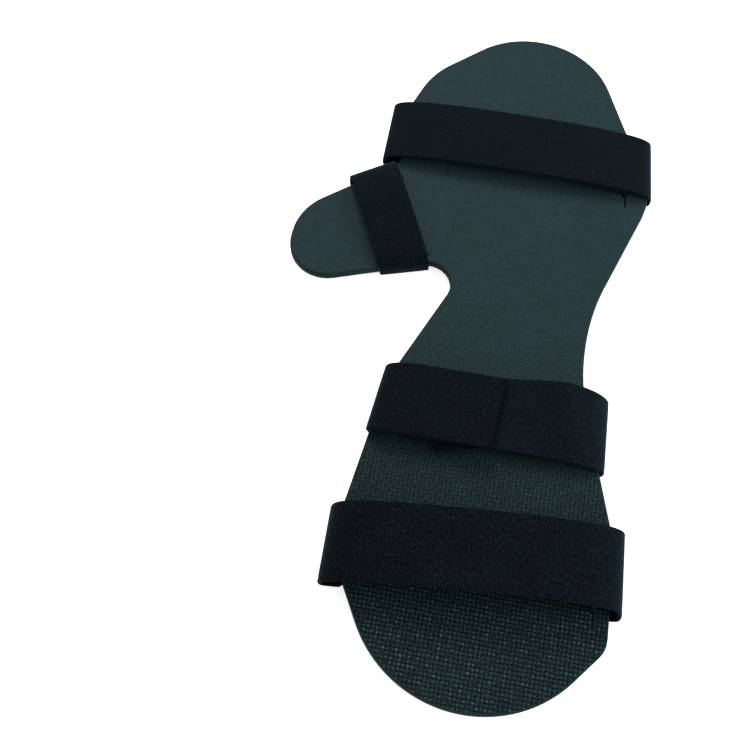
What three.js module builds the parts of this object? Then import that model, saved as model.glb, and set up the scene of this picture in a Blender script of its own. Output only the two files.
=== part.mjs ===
// Flat resting hand splint: a hand-shaped foam board with four fabric straps, lying on its back.
// Millimetres. +Y points to the fingertips, the thumb lies at -X, +Z is up.

import * as THREE from 'three';

// Driving dimensions
const BOARD_THICKNESS = 5;
const BOARD_EDGE_ROUND = 1;
const STRAP_THICKNESS = 1.4;
const WIDE_STRAP = 36;
const NARROW_STRAP = 25;
const SLIT_WIDTH = 2.4;
const SLIT_TIP = 0.7;
const SLIT_MARGIN = 2;
const CLEARANCE = 0.3;
const HOOK_THICKNESS = 1;
const HOOK_WIDTH = 30;
const TAB_LIFT = 8.6;
const TAB_END_LIFT = 9;

// Bend radii of a strap's middle layer
const SLIT_BEND = 1.2;
const FOLD_BEND = 2;

// Rise of a strap under the rail, from its middle to the slit
const RAIL_RISE = 0.05;

// Heights above the table: the straps lie under the board, so its back is clear of the table
const UNDER_RAIL = STRAP_THICKNESS / 2;
const BOARD_BACK = STRAP_THICKNESS + RAIL_RISE + CLEARANCE;
const BOARD_MIDDLE = BOARD_BACK + BOARD_THICKNESS / 2;
const BOARD_FACE = BOARD_BACK + BOARD_THICKNESS;

// Spacing of two strap layers, and of two with the hook patch between them
const LAYER_STEP = STRAP_THICKNESS + CLEARANCE;
const HOOK_STEP = (STRAP_THICKNESS + HOOK_THICKNESS) / 2 + CLEARANCE;

// Smoothness
const BEND_STEPS = 5;
const SHOULDER_STEPS = 12;
const RUN_STEPS = 10;
const TAIL_STEPS = 4;
const WIDTH_STEPS = 2;
const OUTLINE_STEP = 3;
const FEWEST_STEPS = 3;
const BEVEL_STEPS = 2;

const FOAM_COLOUR = '#2b3b3f';
const STRAP_COLOUR = '#121a20';
const HOOK_COLOUR = '#0f1317';
const FOAM_ROUGHNESS = 0.85;
const STRAP_ROUGHNESS = 0.95;
const HOOK_ROUGHNESS = 0.9;

// Board outline, clockwise from the fingertips: each corner and the radius that rounds it
const BOARD_CORNERS = [
  { place: 'fingertips', x: 31.8, y: 211, round: 45 },
  { place: 'little finger knuckle', x: 86.5, y: 90.3, round: 36 },
  { place: 'wrist, little finger side', x: 55.7, y: -4, round: 125 },
  { place: 'forearm, little finger side', x: 85.1, y: -98, round: 60 },
  { place: 'right end corner', x: 86.5, y: -144.4, round: 12 },
  { place: 'forearm end', x: 21.6, y: -226.5, round: 57.5 },
  { place: 'forearm, thumb side', x: -38.3, y: -121.5, round: 40 },
  { place: 'wrist, thumb side', x: -28, y: -37, round: 100 },
  { place: 'thumb web', x: 2.1, y: 38.1, round: 12 },
  { place: 'thumb tip, near', x: -91, y: 3.4, round: 19 },
  { place: 'thumb tip, far', x: -90.1, y: 47.8, round: 30 },
  { place: 'notch over the thumb', x: -43.3, y: 86, round: 10 },
  { place: 'index knuckle', x: -50.5, y: 110, round: 40 },
  { place: 'index fingertip', x: -38, y: 147.5, round: 45 },
];

// Straps. x, y and heading (degrees) place each strap's own frame: "along" runs left to right, from the
// frame's origin. An end has its slit, the fold outside the board's edge, the turn of both lines in degrees,
// how far the strap's near edge is drawn in at both, the length of slit that shows past the strap on the near
// side, and the tail that is sewn back under the strap. The crown is the highest place of the strap, with its
// lift above the board's face and how much higher its far edge is, and square tells how square the shoulders
// beside it are. A free run settles at a lift, then goes straight to its end, with the end's own lift,
// its sway to the far side and its turn in degrees.
const STRAPS = [
  {
    name: 'finger_strap', x: 14.5, y: 105, heading: 0.5, width: WIDE_STRAP,
    left: {
      slit: -47.5, fold: -68.2, slitTurn: 0, foldTurn: 0, slitDraw: 4, foldDraw: 0, shows: 0, tail: 16,
    },
    right: {
      slit: 54.4, fold: 69.4, slitTurn: -9, foldTurn: -4.5, slitDraw: 0, foldDraw: 0.2, shows: 4.5, tail: 16,
    },
    crown: { along: 0, lift: 6.8, roll: 0 }, square: 2.8,
  },
  {
    name: 'thumb_strap', x: -44.2, y: 49.9, heading: -64, width: NARROW_STRAP,
    left: {
      slit: -20.3, fold: -31.7, slitTurn: -10.5, foldTurn: -8, slitDraw: 3, foldDraw: 0, shows: 0, tail: 8,
    },
    right: {
      slit: 23.5, fold: 29, slitTurn: 6, foldTurn: 7.6, slitDraw: 3, foldDraw: 1, shows: 0, tail: 8,
    },
    crown: { along: 0, lift: 6, roll: 0 }, square: 2.8,
  },
  {
    name: 'wrist_strap_left', x: 22, y: -49.5, heading: 0, width: WIDE_STRAP,
    left: {
      slit: -42.5, fold: -53.3, slitTurn: 8, foldTurn: 5.4, slitDraw: 5, foldDraw: 3.5, shows: 0, tail: 9,
    },
    crown: { along: -28, lift: TAB_LIFT, roll: 0 }, square: 2.8,
    free: { settle: 0, lift: TAB_END_LIFT, end: 4.4, endLift: TAB_END_LIFT, sway: 0, turn: 3 },
  },
  {
    name: 'wrist_strap_right', x: 22, y: -47.6, heading: 0, width: WIDE_STRAP,
    right: {
      slit: 41, fold: 54.1, slitTurn: -8, foldTurn: -2.8, slitDraw: 4, foldDraw: 0.4, shows: 0, tail: 10,
    },
    crown: { along: 33, lift: 8.8, roll: 3.8 }, square: 1.9,
    free: { settle: 2, lift: TAB_LIFT - 2 * HOOK_STEP, end: -22, endLift: 2.8, sway: -6.6, turn: 0 },
  },
  {
    name: 'forearm_strap', x: 24.5, y: -116.5, heading: 5.4, width: WIDE_STRAP,
    left: {
      slit: -51.3, fold: -64.7, slitTurn: -5.3, foldTurn: 2.9, slitDraw: 6, foldDraw: 1.5, shows: 0, tail: 16,
    },
    right: {
      slit: 52.8, fold: 65.3, slitTurn: 0.7, foldTurn: 2.1, slitDraw: 0, foldDraw: -1.8, shows: 5.5, tail: 16,
    },
    crown: { along: 0, lift: 16, roll: 0 }, square: 2.8,
  },
];

// Hook patch under the tab, measured along the left half of the wrist strap
const HOOK_START = -32;
const HOOK_END = 0;

const byName = (name) => STRAPS.find((strap) => strap.name === name);

// Points of an arc about a centre, from one angle to another in degrees
function arc(centreX, centreY, radius, from, to, steps) {
  const points = [];
  for (let i = 0; i <= steps; i += 1) {
    const angle = THREE.MathUtils.degToRad(from + ((to - from) * i) / steps);
    points.push(new THREE.Vector2(centreX + radius * Math.cos(angle), centreY + radius * Math.sin(angle)));
  }
  return points;
}

// Closed outline with a round arc at every corner
function roundedOutline(corners) {
  const points = [];
  corners.forEach((corner, i) => {
    const here = new THREE.Vector2(corner.x, corner.y);
    const before = corners[(i + corners.length - 1) % corners.length];
    const after = corners[(i + 1) % corners.length];
    const back = new THREE.Vector2(before.x, before.y).sub(here).normalize();
    const ahead = new THREE.Vector2(after.x, after.y).sub(here).normalize();
    const halfAngle = Math.acos(back.dot(ahead)) / 2;
    const middle = back.clone().add(ahead).normalize();
    const centre = here.clone().addScaledVector(middle, corner.round / Math.sin(halfAngle));
    const start = here.clone().addScaledVector(back, corner.round / Math.tan(halfAngle)).sub(centre);
    const end = here.clone().addScaledVector(ahead, corner.round / Math.tan(halfAngle)).sub(centre);
    const from = THREE.MathUtils.radToDeg(start.angle());
    const turn = THREE.MathUtils.radToDeg(Math.atan2(start.cross(end), start.dot(end)));
    const length = THREE.MathUtils.degToRad(Math.abs(turn)) * corner.round;
    const steps = Math.max(FEWEST_STEPS, Math.ceil(length / OUTLINE_STEP));
    points.push(...arc(centre.x, centre.y, corner.round, from, from + turn, steps));
  });
  return points;
}

// Height of a strap's middle layer above the table, at a place along and across its top run
function topHeight(strap, along, across) {
  const { crown, free } = strap;
  const end = along < crown.along ? strap.left : strap.right;
  const crownHeight = BOARD_FACE + crown.lift + (crown.roll * across) / (strap.width / 2);
  if (end) {
    const share = Math.abs((along - crown.along) / (end.fold - crown.along));
    const rise = crownHeight - BOARD_MIDDLE;
    return BOARD_MIDDLE + rise * (1 - share ** strap.square) ** (1 / strap.square);
  }
  const settled = THREE.MathUtils.smoothstep((along - crown.along) / (free.settle - crown.along), 0, 1);
  const past = Math.max(0, (along - free.settle) / (free.end - free.settle));
  const lift = THREE.MathUtils.lerp(free.lift, free.endLift, past);
  return THREE.MathUtils.lerp(crownHeight, BOARD_FACE + lift, settled);
}

// Share of a draw that a line along a strap takes: all at the near edge, none at the far one
const drawShare = (strap, across) => 0.5 - across / strap.width;

// Paths follow one line along a strap, at a place across it. x is along, y the shift across, z the height.
// Middle layer of one end: from the tail's end down through the slit, under the rail and up outside it,
// to where the shoulder begins. Under the rail it rises a little to the slit.
function endLoop(strap, end, side, across) {
  const slitShift = end.slitDraw * drawShare(strap, across);
  const foldShift = end.foldDraw * drawShare(strap, across);
  const tailHeight = (along, shift) => topHeight(strap, along, across + shift) - LAYER_STEP;
  const points = [];
  for (let i = 0; i < TAIL_STEPS; i += 1) {
    const shift = (slitShift * i) / TAIL_STEPS;
    const along = end.slit - side * THREE.MathUtils.lerp(end.tail, SLIT_BEND, i / TAIL_STEPS);
    points.push(new THREE.Vector3(along, shift, tailHeight(along, shift)));
  }
  const slitInside = end.slit - side * SLIT_BEND;
  const slitOutside = end.slit + side * SLIT_BEND;
  const foldInside = end.fold - side * FOLD_BEND;
  const slitTop = tailHeight(slitInside, slitShift) - SLIT_BEND;
  const place = (bend, along, shift, height) => bend.map(
    (point) => new THREE.Vector3(along + side * point.x, shift, height + point.y),
  );
  points.push(...place(arc(0, 0, SLIT_BEND, 90, 0, BEND_STEPS), slitInside, slitShift, slitTop));
  const slitFoot = UNDER_RAIL + RAIL_RISE + SLIT_BEND;
  points.push(...place(arc(0, 0, SLIT_BEND, 180, 270, BEND_STEPS), slitOutside, slitShift, slitFoot));
  points.push(new THREE.Vector3((slitOutside + foldInside) / 2, foldShift, UNDER_RAIL));
  const foldFoot = UNDER_RAIL + FOLD_BEND;
  points.push(...place(arc(0, 0, FOLD_BEND, 270, 360, BEND_STEPS), foldInside, foldShift, foldFoot));
  return points;
}

// Middle layer of the top run from the crown out to a fold
function shoulder(strap, end, across) {
  const { crown } = strap;
  const rise = topHeight(strap, crown.along, across) - BOARD_MIDDLE;
  const foldShift = end.foldDraw * drawShare(strap, across);
  const points = [];
  for (let i = 1; i <= SHOULDER_STEPS; i += 1) {
    const angle = (Math.PI / 2) * (1 - i / SHOULDER_STEPS);
    const out = Math.cos(angle) ** (2 / strap.square);
    const up = Math.sin(angle) ** (2 / strap.square);
    const along = crown.along + (end.fold - crown.along) * out;
    points.push(new THREE.Vector3(along, foldShift * (1 - up) ** 2, BOARD_MIDDLE + rise * up));
  }
  return points;
}

// Middle layer of the top run from the crown to a free end
function freeRun(strap, across) {
  const { crown, free } = strap;
  const points = [];
  for (let i = 1; i <= RUN_STEPS; i += 1) {
    const along = THREE.MathUtils.lerp(crown.along, free.settle, i / RUN_STEPS);
    points.push(new THREE.Vector3(along, 0, topHeight(strap, along, across)));
  }
  points.push(new THREE.Vector3(free.end, free.sway, BOARD_FACE + free.endLift));
  return points;
}

// Whole middle layer of a strap, from its left end to its right end
function strapPath(strap, across) {
  const { crown, left, right } = strap;
  const leftPart = left
    ? [...endLoop(strap, left, -1, across), ...shoulder(strap, left, across).reverse()]
    : freeRun(strap, across).reverse();
  const rightPart = right
    ? [...shoulder(strap, right, across), ...endLoop(strap, right, 1, across).reverse()]
    : freeRun(strap, across);
  const top = new THREE.Vector3(crown.along, 0, topHeight(strap, crown.along, across));
  return [...leftPart, top, ...rightPart];
}

// Closed side view of a layer of the given thickness about its middle layer: its lower side, then its upper
function layerOutline(path, thickness) {
  const side = (sign) => path.map((point, i) => {
    const before = path[Math.max(0, i - 1)];
    const after = path[Math.min(path.length - 1, i + 1)];
    const ahead = new THREE.Vector2(after.x - before.x, after.z - before.z).normalize();
    const out = (sign * thickness) / 2;
    return new THREE.Vector3(point.x - ahead.y * out, point.y, point.z + ahead.x * out);
  });
  return [...side(-1), ...side(1).reverse()];
}

// Turn of the lines across a strap, in degrees, at a place along it: it grows from the crown to the slit,
// stays for the thickness of the strap in the slit, and eases to the turn of the fold. Towards a free end
// it grows all the way.
function turnAt(strap, along) {
  const end = along < strap.crown.along ? strap.left : strap.right;
  const out = Math.abs(along - strap.crown.along);
  if (!end) return (strap.free.turn * out) / Math.abs(strap.free.end - strap.crown.along);
  const slitOut = Math.abs(end.slit - strap.crown.along);
  const foldOut = Math.abs(end.fold - strap.crown.along);
  if (out < slitOut) return end.slitTurn * Math.min(1, out / (slitOut - SLIT_WIDTH));
  const past = Math.max(0, (out - slitOut - SLIT_WIDTH) / (foldOut - slitOut - SLIT_WIDTH));
  return THREE.MathUtils.lerp(end.slitTurn, end.foldTurn, past);
}

// Strip of the given width about the middle layer that pathAt gives for each line along it,
// in the strap's own frame
function stripGeometry(strap, pathAt, thickness, width) {
  const positions = [];
  const triangles = [];
  const outlines = [];
  for (let line = 0; line <= WIDTH_STEPS; line += 1) {
    const across = width * (line / WIDTH_STEPS - 0.5);
    outlines.push(layerOutline(pathAt(across), thickness));
    for (const point of outlines[line]) {
      const turn = THREE.MathUtils.degToRad(turnAt(strap, point.x));
      const shifted = across + point.y;
      positions.push(point.x + shifted * Math.tan(turn), shifted, point.z);
    }
  }
  const around = outlines[0].length;
  for (let line = 0; line < WIDTH_STEPS; line += 1) {
    for (let i = 0; i < around; i += 1) {
      const here = line * around + i;
      const next = line * around + ((i + 1) % around);
      triangles.push(here, here + around, next + around, here, next + around, next);
    }
  }
  const farEdge = WIDTH_STEPS * around;
  for (let low = 0; low < around / 2 - 1; low += 1) {
    const high = around - 1 - low;
    triangles.push(low, low + 1, high - 1, low, high - 1, high);
    triangles.push(farEdge + low, farEdge + high - 1, farEdge + low + 1);
    triangles.push(farEdge + low, farEdge + high, farEdge + high - 1);
  }
  const strip = new THREE.BufferGeometry();
  strip.setAttribute('position', new THREE.Float32BufferAttribute(positions, 3));
  strip.setIndex(triangles);
  strip.computeVertexNormals();
  return strip;
}

function placedMesh(name, geometry, colour, roughness, strap) {
  const material = new THREE.MeshStandardMaterial({ color: colour, roughness, metalness: 0 });
  const mesh = new THREE.Mesh(geometry, material);
  mesh.name = name;
  if (strap) {
    mesh.position.set(strap.x, strap.y, 0);
    mesh.rotation.z = THREE.MathUtils.degToRad(strap.heading);
  }
  return mesh;
}

// Slit for one end of a strap, in the board's own frame: a cut that the strap holds open, with closed tips
function slitHole(strap, end) {
  const heading = THREE.MathUtils.degToRad(strap.heading);
  const lean = THREE.MathUtils.degToRad(end.slitTurn);
  const across = new THREE.Vector2(Math.tan(lean), 1).rotateAround(new THREE.Vector2(), heading);
  const aside = new THREE.Vector2(across.y, -across.x).normalize();
  const middle = new THREE.Vector2(end.slit, 0).rotateAround(new THREE.Vector2(), heading);
  middle.add(new THREE.Vector2(strap.x, strap.y)).addScaledVector(across, end.slitDraw / 2);
  const drawnHalf = (strap.width - end.slitDraw) / 2;
  const open = drawnHalf + CLEARANCE;
  const closed = drawnHalf + SLIT_MARGIN - SLIT_TIP / 2;
  const corner = (out, right) => middle.clone()
    .addScaledVector(across, out)
    .addScaledVector(aside, (right * SLIT_WIDTH) / 2);
  const tip = (out, from) => {
    const centre = middle.clone().addScaledVector(across, out);
    return arc(centre.x, centre.y, SLIT_TIP / 2, from, from + 180, BEND_STEPS);
  };
  const facing = THREE.MathUtils.radToDeg(across.angle());
  return new THREE.Path([
    corner(open, 1),
    ...tip(closed, facing - 90),
    corner(open, -1),
    corner(-open, -1),
    ...tip(-closed - end.shows, facing + 90),
    corner(-open, 1),
  ]);
}

function foamBoard() {
  const shape = new THREE.Shape(roundedOutline(BOARD_CORNERS));
  for (const strap of STRAPS) {
    for (const end of [strap.left, strap.right]) {
      if (end) shape.holes.push(slitHole(strap, end));
    }
  }
  const geometry = new THREE.ExtrudeGeometry(shape, {
    depth: BOARD_THICKNESS - 2 * BOARD_EDGE_ROUND,
    bevelThickness: BOARD_EDGE_ROUND,
    bevelSize: BOARD_EDGE_ROUND,
    bevelOffset: -BOARD_EDGE_ROUND,
    bevelSegments: BEVEL_STEPS,
  });
  geometry.translate(0, 0, BOARD_BACK + BOARD_EDGE_ROUND);
  return placedMesh('foam_board', geometry, FOAM_COLOUR, FOAM_ROUGHNESS);
}

function strapMesh(strap) {
  const geometry = stripGeometry(strap, (across) => strapPath(strap, across), STRAP_THICKNESS, strap.width);
  return placedMesh(strap.name, geometry, STRAP_COLOUR, STRAP_ROUGHNESS, strap);
}

function hookPatch() {
  const strap = byName('wrist_strap_left');
  const pathAt = (across) => {
    const path = [];
    for (let i = 0; i <= RUN_STEPS; i += 1) {
      const along = THREE.MathUtils.lerp(HOOK_START, HOOK_END, i / RUN_STEPS);
      path.push(new THREE.Vector3(along, 0, topHeight(strap, along, across) - HOOK_STEP));
    }
    return path;
  };
  const geometry = stripGeometry(strap, pathAt, HOOK_THICKNESS, HOOK_WIDTH);
  return placedMesh('wrist_hook_patch', geometry, HOOK_COLOUR, HOOK_ROUGHNESS, strap);
}

const splint = new THREE.Group();
splint.name = 'resting_hand_splint';
splint.add(foamBoard());
for (const strap of STRAPS) splint.add(strapMesh(strap));
splint.add(hookPatch());

export default splint;
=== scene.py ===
import math

import bpy
import numpy as np
from mathutils import Matrix, Vector, noise
from mathutils.geometry import delaunay_2d_cdt
from mathutils.kdtree import KDTree


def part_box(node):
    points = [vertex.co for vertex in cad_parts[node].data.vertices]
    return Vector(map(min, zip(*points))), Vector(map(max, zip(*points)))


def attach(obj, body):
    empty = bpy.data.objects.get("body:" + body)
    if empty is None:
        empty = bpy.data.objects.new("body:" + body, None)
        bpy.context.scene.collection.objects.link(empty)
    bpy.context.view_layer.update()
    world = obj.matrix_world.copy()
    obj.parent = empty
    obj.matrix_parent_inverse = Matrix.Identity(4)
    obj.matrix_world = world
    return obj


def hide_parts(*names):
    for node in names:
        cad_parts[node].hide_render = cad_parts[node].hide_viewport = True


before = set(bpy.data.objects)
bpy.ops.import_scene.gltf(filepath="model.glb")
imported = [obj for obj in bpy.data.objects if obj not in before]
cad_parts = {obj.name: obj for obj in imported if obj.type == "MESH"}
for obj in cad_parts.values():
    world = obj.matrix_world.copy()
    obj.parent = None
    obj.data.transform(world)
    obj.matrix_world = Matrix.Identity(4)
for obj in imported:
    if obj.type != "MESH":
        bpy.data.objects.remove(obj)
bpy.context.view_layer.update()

# Looks of the flat resting hand splint: an embossed foam board and its brushed fabric straps.
# Sizes below are millimetres in the frame's axes, and new_piece() turns them into metres.
MM = 0.001

# Sizes shared with the solids
STRAP_THICKNESS = 1.4
WIDE_STRAP = 36
NARROW_STRAP = 25
CLEARANCE = 0.3
HOOK_THICKNESS = 1
HOOK_WIDTH = 30
TAB_LIFT = 8.6
TAB_END_LIFT = 9
SLIT_BEND = 1.2
FOLD_BEND = 2
SLIT_WIDTH = 2.4
UNDER_RAIL = STRAP_THICKNESS / 2
RAIL_RISE = 0.05
BOARD_BACK, BOARD_FACE = (corner.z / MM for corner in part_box("foam_board"))
BOARD_MIDDLE = (BOARD_BACK + BOARD_FACE) / 2
BOARD_EDGE_ROUND = 1
LAYER_STEP = STRAP_THICKNESS + CLEARANCE
HOOK_STEP = (STRAP_THICKNESS + HOOK_THICKNESS) / 2 + CLEARANCE

# Embossed grid of the foam: pillows between grooves, with three mesh steps to a pillow and its peak at one
# of them. It is crisp at the forearm and worn flatter from there to the hand. Drops are shares of the depth.
EMBOSS_PITCH = 1.93
EMBOSS_DEPTH = 0.4
EMBOSS_STEPS = 3
CELL = EMBOSS_PITCH / EMBOSS_STEPS
PEAK_ACROSS, PEAK_ALONG = 1, 2
GROOVE_DROP = 0.8
PEAK_FALL = 0.15
UNEVEN_DROP = 0.25
WORN_DROP = 0.42
CRISP_UP_TO, WORN_FROM = -110, 60
WORN_SHARE = 0.12

# Each pillow is sunk by its own random share, in a pattern that repeats after this many pillows
UNEVEN_REPEAT = 61
UNEVEN_SEED = 7
MEAN_SUNK = 0.5

# The grid is not quite straight: its lines sway a little, in waves that sway along longer waves
WOBBLE = 0.07
WOBBLE_ASIDE = {"length": 3.1, "sway": 1.7, "sway_length": 9.0}
WOBBLE_AHEAD = {"length": 2.7, "sway": 1.9, "sway_length": 7.0}

# From the forearm strap up, staggered dashes are pressed deeper into the grooves that run along the board
DASHES_UP_FROM, ALL_DASHES_FROM = -140, -100
DASH_DROP = 0.2

# Tones of the foam: crisp foam; worn foam, paler as painted sheen of the far light; and the wall, darker as
# painted shade. Then what a pillow's sinking and the dashes change: the dashes are darker as painted shade in
# their deeper grooves
CRISP_TONE = 0.395
WORN_SHEEN_TONE = 0.58
WALL_SHADE_TONE = 0.38
UNEVEN_TONE = 0.1
DASH_SHADE_TONE = -0.33

# Fine marks where the grid is crisp: pale dots on the pillows, a painted highlight, and painted shade in the
# grooves:
# the lines between the pillows, once more the lines across the board, and the crossings. A mark grows from
# none to full with the cosine of its place in the grid, which is 1 in a groove and -1 on a pillow. Dots and
# crossings go by the sum of both cosines. Each mark adds to the tone, more on a tall pillow than on a sunk
# one.
HIGHLIGHT_DOTS = {"none": -0.5, "full": -1.8, "tone": 0.29}
SHADED_LINES = {"none": 0.6, "full": 1, "tone": -0.13}
SHADED_ROWS = {"none": 0.6, "full": 1, "tone": -0.2}
SHADED_CROSSINGS = {"none": 1.1, "full": 1.9, "tone": -0.32}
MARKS_AMONG_DASHES = 0.5
MARKS_ON_TALL, MARKS_ON_SUNK = 1.25, 0.75

# Noise in the foam's tone: uneven specks among the marks, and mottling all over
NOISE_MIDDLE = 0.5
SPECKS = {"scale": 1100, "detail": 2, "roughness": 0.6, "tone": 1.5}
BLOTCHES = {"scale": 45, "detail": 3, "roughness": 0.55, "tone": 0.14}
PATCHES = {"scale": 420, "detail": 2, "roughness": 0.5, "tone": 0.22}
GRAIN = {"scale": 2600, "detail": 2, "roughness": 0.6, "tone": 0.16}

# Colours of the foam by their place from the darkest tone to the palest
DARKEST_TONE, PALEST_TONE = 0.26, 1.26
FOAM_SHADES = [
    (0.0, (0.0016, 0.0042, 0.0048)),
    (0.36, (0.0066, 0.0130, 0.0118)),
    (0.6, (0.0122, 0.0246, 0.0282)),
    (0.8, (0.0230, 0.0375, 0.0345)),
    (1.0, (0.0660, 0.0960, 0.0860)),
]

# Rims of the board and its slits: spacing of their points, and how far the grid stays clear of them. A slit
# is snug about its strap and closes to a fine cut where no strap holds it open. A short near cut, which the
# photo hides, is drawn in to a share of its length.
RIM_STEP = 1.5
RIM_CLEAR = 0.78
CLEAR_TEST_STEP = 0.3
SNUG_HALF_WIDTH = 0.86
HELD_OPEN_SHARE = 0.97
CUT_HALF_WIDTH = 0.2
CUT_CLOSES_IN = 0.8
HIDDEN_CUT = 3
HIDDEN_CUT_KEPT = 0.12

# Section of the board's rim from its face down: how far in from the outline, and how far below the face
RIM = [
    {"inset": 0.32, "down": 0.14},
    {"inset": 0.09, "down": 0.42},
    {"inset": 0.0, "down": 0.95},
]

# How near the points of a wall lie to its height, and how near points are that the flat fill takes as one
LEVEL_WITHIN = 0.01
FILL_WITHIN = 1e-7

# Strap meshes: spacing of their rows and columns, the round of their edges, the thinned ends and how far the
# painted shade at the tab's ends reaches, the uneven nap with its shift between the two sides, and the fine
# line beside each edge
ROW_STEP = 0.9
COLUMN_STEP = 1.5
EDGE_COLUMNS = 4
EDGE_ROUND = 0.7
END_ROUND = 0.9
END_THICKNESS = 0.55
END_SHADE_REACH = 0.85
NAP_HEIGHT = 0.05
NAP_SIZE = 2.2
NAP_SIDE_SHIFT = 9
SELVEDGE_IN = 1.9
SELVEDGE_DEPTH = 0.1
SELVEDGE_WIDTH = 0.6

# Brushed cloth: noise of its clumps, fibres and fading, with their weights and that of the painted shade at
# the tab's ends in the mix.
# The mix is spread over the colours from a dark to a pale limit about its middle, closer for a rough nap.
# The brushing stretches the noise across the strap, and each strap is shifted to its own place in it.
CLUMPS = {"scale": 1000, "detail": 3, "roughness": 0.6}
FIBRES = {"scale": 2300, "detail": 2, "roughness": 0.7, "weight": 1.1}
FADING = {"scale": 60, "detail": 2, "roughness": 0.5, "weight": 0.15}
END_SHADE_WEIGHT = -0.6
MIX_MIDDLE, MIX_TO_DARK, MIX_TO_PALE = 1.12, 0.33, 0.4
BRUSHING = (1, 0.55, 1)
STRAP_SHIFT = (1, 0.7, 0)
STRAP_SHADES = [
    (0.0, (0.0009, 0.0012, 0.0016)),
    (0.45, (0.0034, 0.0055, 0.0075)),
    (0.75, (0.0080, 0.0120, 0.0155)),
    (1.0, (0.0228, 0.0295, 0.0345)),
]

# Stitches of the tab, with the shares by which their places and lengths vary, and the dents of their seams,
# which only the cloth that faces up has
STITCH_LENGTH = 2.0
STITCH_GAP = 1.5
STITCH_RADIUS = 0.15
STITCH_RISE = 0.1
STITCH_SINK = 0.14
STITCH_WANDER = 0.3
STITCH_SLIP = 0.12
STITCH_SHORTEST, STITCH_LONGEST = 0.7, 1.15
STITCH_SEED = 11
STITCH_SIDES = 6
STITCH_ROWS = 5
SEAM_DENT = 0.16
SEAM_DENT_WIDTH = 0.9
FACES_UP = 0.3

# Straps, as in the solids. x, y and heading (degrees) place each strap's own frame: "along" runs left to
# right, from the frame's origin. An end has its slit, the fold outside the board's edge, the turn of both
# lines in degrees, how far the strap's near edge is drawn in at both, and the tail that is sewn back under
# the strap. The crown is the highest place of the strap, with its lift above the board's face and how much
# higher its far edge is, and square tells how square the shoulders beside it are. A free run settles at a
# lift, then goes straight to its end, with the end's own lift, its sway to the far side and its turn.
# The tone makes a strap's cloth darker or paler, and the nap tells how rough it looks.
END_COLUMNS = ("slit", "fold", "slit_turn", "fold_turn", "slit_draw", "fold_draw", "tail")
CROWN_COLUMNS = ("along", "lift", "roll")
FREE_COLUMNS = ("settle", "lift", "end", "end_lift", "sway", "turn")


def named(columns, *values):
    """A row of a table by the names of its columns."""
    return dict(zip(columns, values))


STRAPS = {
    "finger_strap": {
        "x": 14.5, "y": 105, "heading": 0.5, "tone": 0.7, "nap": 0.5, "width": WIDE_STRAP,
        "left": named(END_COLUMNS, -47.5, -68.2, 0, 0, 4, 0, 16),
        "right": named(END_COLUMNS, 54.4, 69.4, -9, -4.5, 0, 0.2, 16),
        "crown": named(CROWN_COLUMNS, 0, 6.8, 0), "square": 2.8,
    },
    "thumb_strap": {
        "x": -44.2, "y": 49.9, "heading": -64, "tone": 0.64, "nap": 0.55, "width": NARROW_STRAP,
        "left": named(END_COLUMNS, -20.3, -31.7, -10.5, -8, 3, 0, 8),
        "right": named(END_COLUMNS, 23.5, 29, 6, 7.6, 3, 1, 8),
        "crown": named(CROWN_COLUMNS, 0, 6, 0), "square": 2.8,
    },
    "wrist_strap_left": {
        "x": 22, "y": -49.5, "heading": 0, "tone": 0.62, "nap": 0.75, "width": WIDE_STRAP,
        "left": named(END_COLUMNS, -42.5, -53.3, 8, 5.4, 5, 3.5, 9),
        "crown": named(CROWN_COLUMNS, -28, TAB_LIFT, 0), "square": 2.8,
        "free": named(FREE_COLUMNS, 0, TAB_END_LIFT, 4.4, TAB_END_LIFT, 0, 3),
    },
    "wrist_strap_right": {
        "x": 22, "y": -47.6, "heading": 0, "tone": 0.85, "nap": 0.75, "width": WIDE_STRAP,
        "right": named(END_COLUMNS, 41, 54.1, -8, -2.8, 4, 0.4, 10),
        "crown": named(CROWN_COLUMNS, 33, 8.8, 3.8), "square": 1.9,
        "free": named(FREE_COLUMNS, 2, TAB_LIFT - 2 * HOOK_STEP, -22, 2.8, -6.6, 0),
    },
    "forearm_strap": {
        "x": 24.5, "y": -116.5, "heading": 5.4, "tone": 0.58, "nap": 1.15, "width": WIDE_STRAP,
        "left": named(END_COLUMNS, -51.3, -64.7, -5.3, 2.9, 6, 1.5, 16),
        "right": named(END_COLUMNS, 52.8, 65.3, 0.7, 2.1, 0, -1.8, 16),
        "crown": named(CROWN_COLUMNS, 0, 16, 0), "square": 2.8,
    },
}
HOOK_START, HOOK_END = -32, 0
HOOK_PLACES = 40

# Lines of pale stitches that hold the tab's layers together, along and across the left wrist strap
TAB_SEAMS = [
    ((-1.6, 16.8), (-2.9, -3.3)),
    ((-6.4, -7.0), (-44.1, -10.0)),
    ((-44.8, 3.6), (-44.6, -2.5)),
    ((-25.4, 10.1), (-9.6, 10.6)),
]

# Camera: the photograph's frame, lens and place, and the point that its middle looks at
FOCAL_LENGTH = 51.43
SENSOR_WIDTH = 36
CAMERA_DISTANCE = 508.4
CAMERA_TILT = 25.3
CAMERA_TURN = -9.3
CAMERA_ROLL = -1.8
LOOK_AT = (-32.5, -38.5, 6.7)
CLIP_START = 10

# Floor and lights, in metres
FLOOR_HALF = 4.0
FLOOR_SHADES = [(0.3, (0.82, 0.82, 0.82)), (0.7, (0.84, 0.84, 0.84))]
SKY_COLOUR = (0.96, 0.98, 1.0, 1)
SKY_STRENGTH = 0.75
LIGHTS = {
    "far_light": {
        "place": (-0.3, 0.8, 0.8), "target": (0, 0, 0), "size": 0.55, "power": 13.5,
        "colour": (1, 1, 1),
    },
    "right_light": {
        "place": (0.9, 0.0, 0.45), "target": (0.05, 0, 0), "size": 0.6, "power": 11,
        "colour": (0.82, 0.94, 1),
    },
}


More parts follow.
